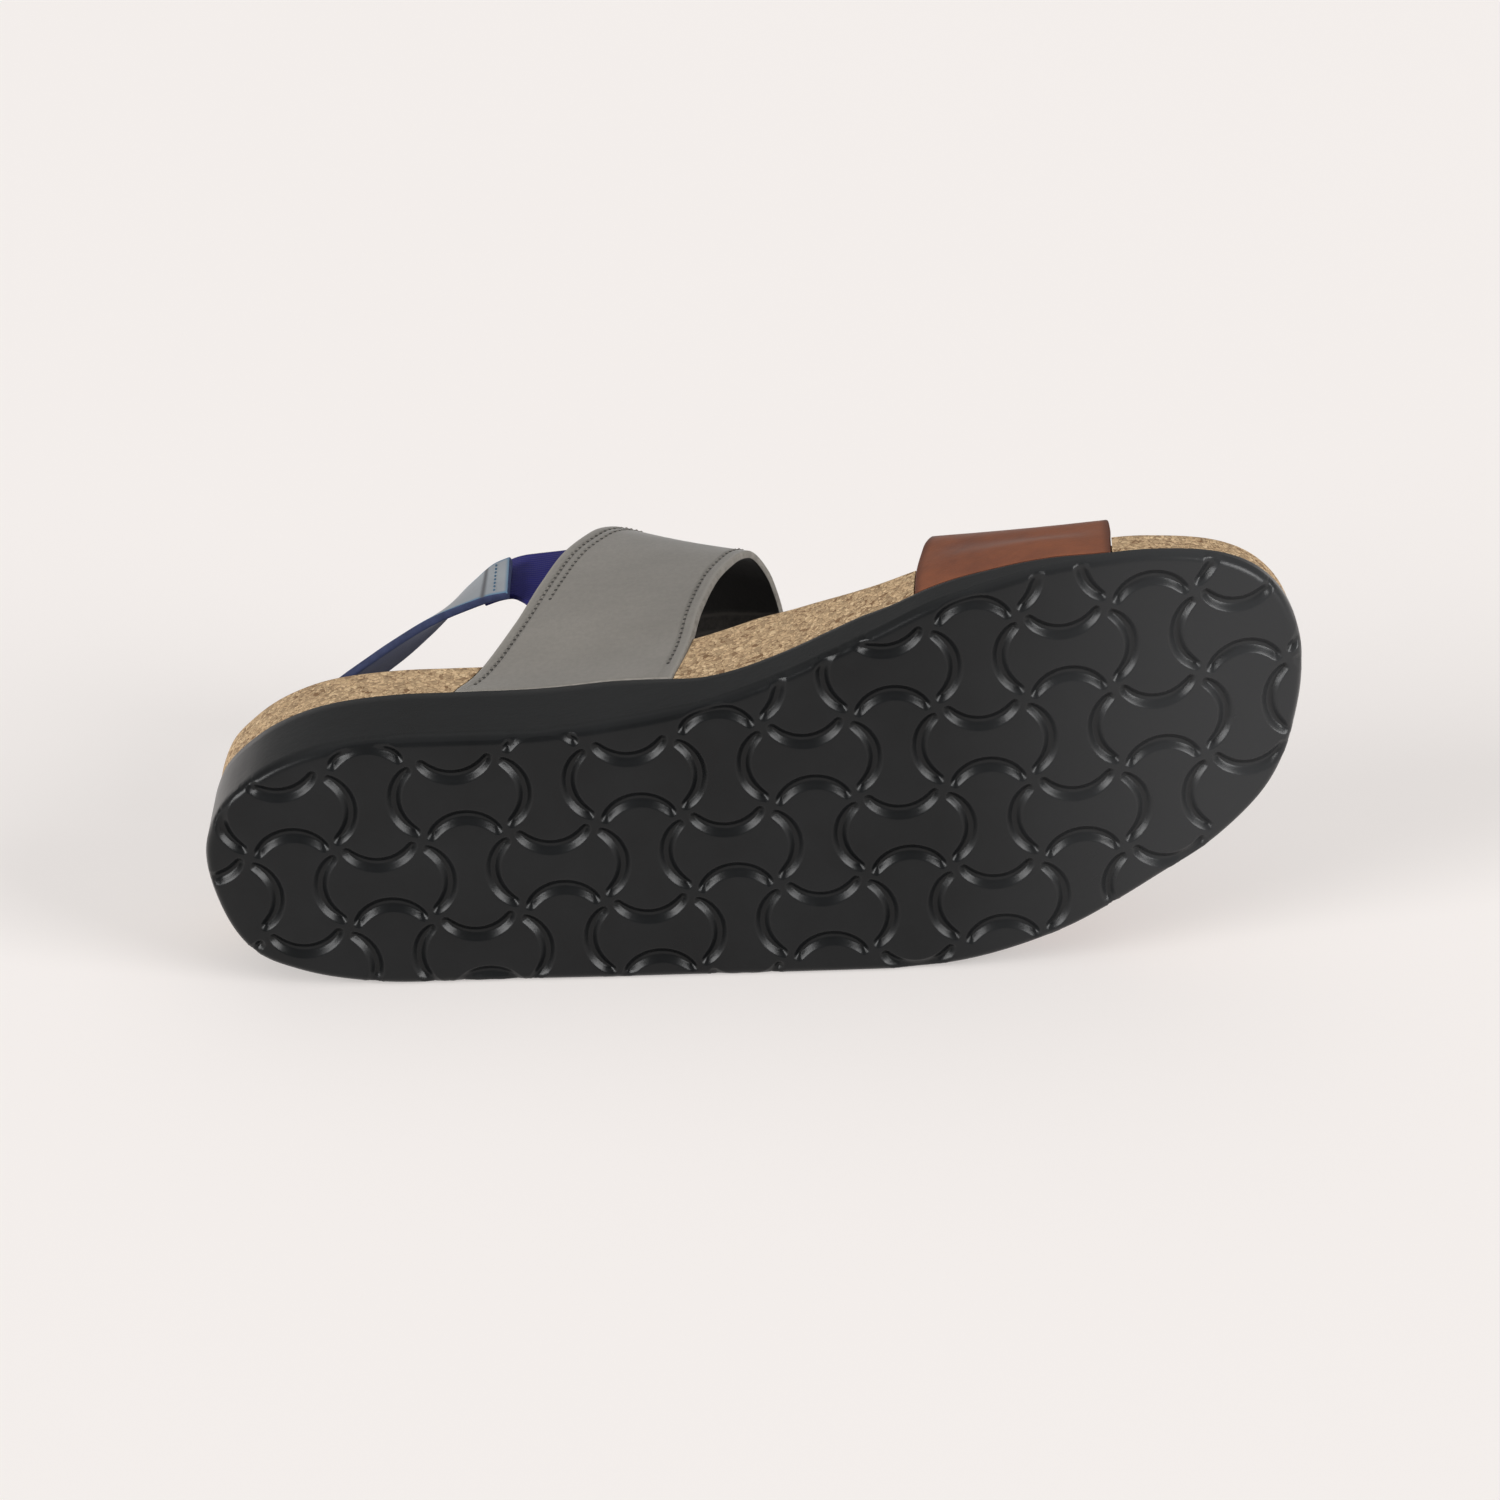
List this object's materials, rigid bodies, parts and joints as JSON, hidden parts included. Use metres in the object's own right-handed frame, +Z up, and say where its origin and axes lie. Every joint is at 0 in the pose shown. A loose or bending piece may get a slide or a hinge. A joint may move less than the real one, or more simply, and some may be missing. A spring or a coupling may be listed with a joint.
{
  "type": "slingback sandal",
  "caption": "Open sandal on a cork wedge footbed and black moulded sole with bow-tie tread, with a broad instep strap, a toe strap and an elastic heel sling; left foot, lying on its side",
  "frame": {"origin": "middle of the footprint on the floor, under the centre of the bounding box", "axes": "+Z up from the floor, which the outer side of the shoe rests on; +X along the shoe from heel to toe; the tread faces -Y and the open top of the shoe faces +Y"},
  "size_m": [0.251, 0.1112, 0.1037],
  "materials": {
    "rubber_black": "satin black moulded rubber",
    "cork": "granulated cork, matt",
    "lining_black": "matt black lining leather",
    "nubuck_gray": "warm gray nubuck, matt",
    "leather_brown": "smooth chestnut leather, slight gloss",
    "leather_blue_gray": "soft blue-gray leather, matt",
    "elastic_navy": "woven navy elastic"
  },
  "bodies": {
    "root": {"outsole": "rubber_black", "footbed": "cork", "insole": "lining_black", "instep_strap": "nubuck_gray", "toe_strap": "leather_brown", "heel_sling": "leather_blue_gray", "sling_elastic": "elastic_navy"}
  },
  "joints": []
}
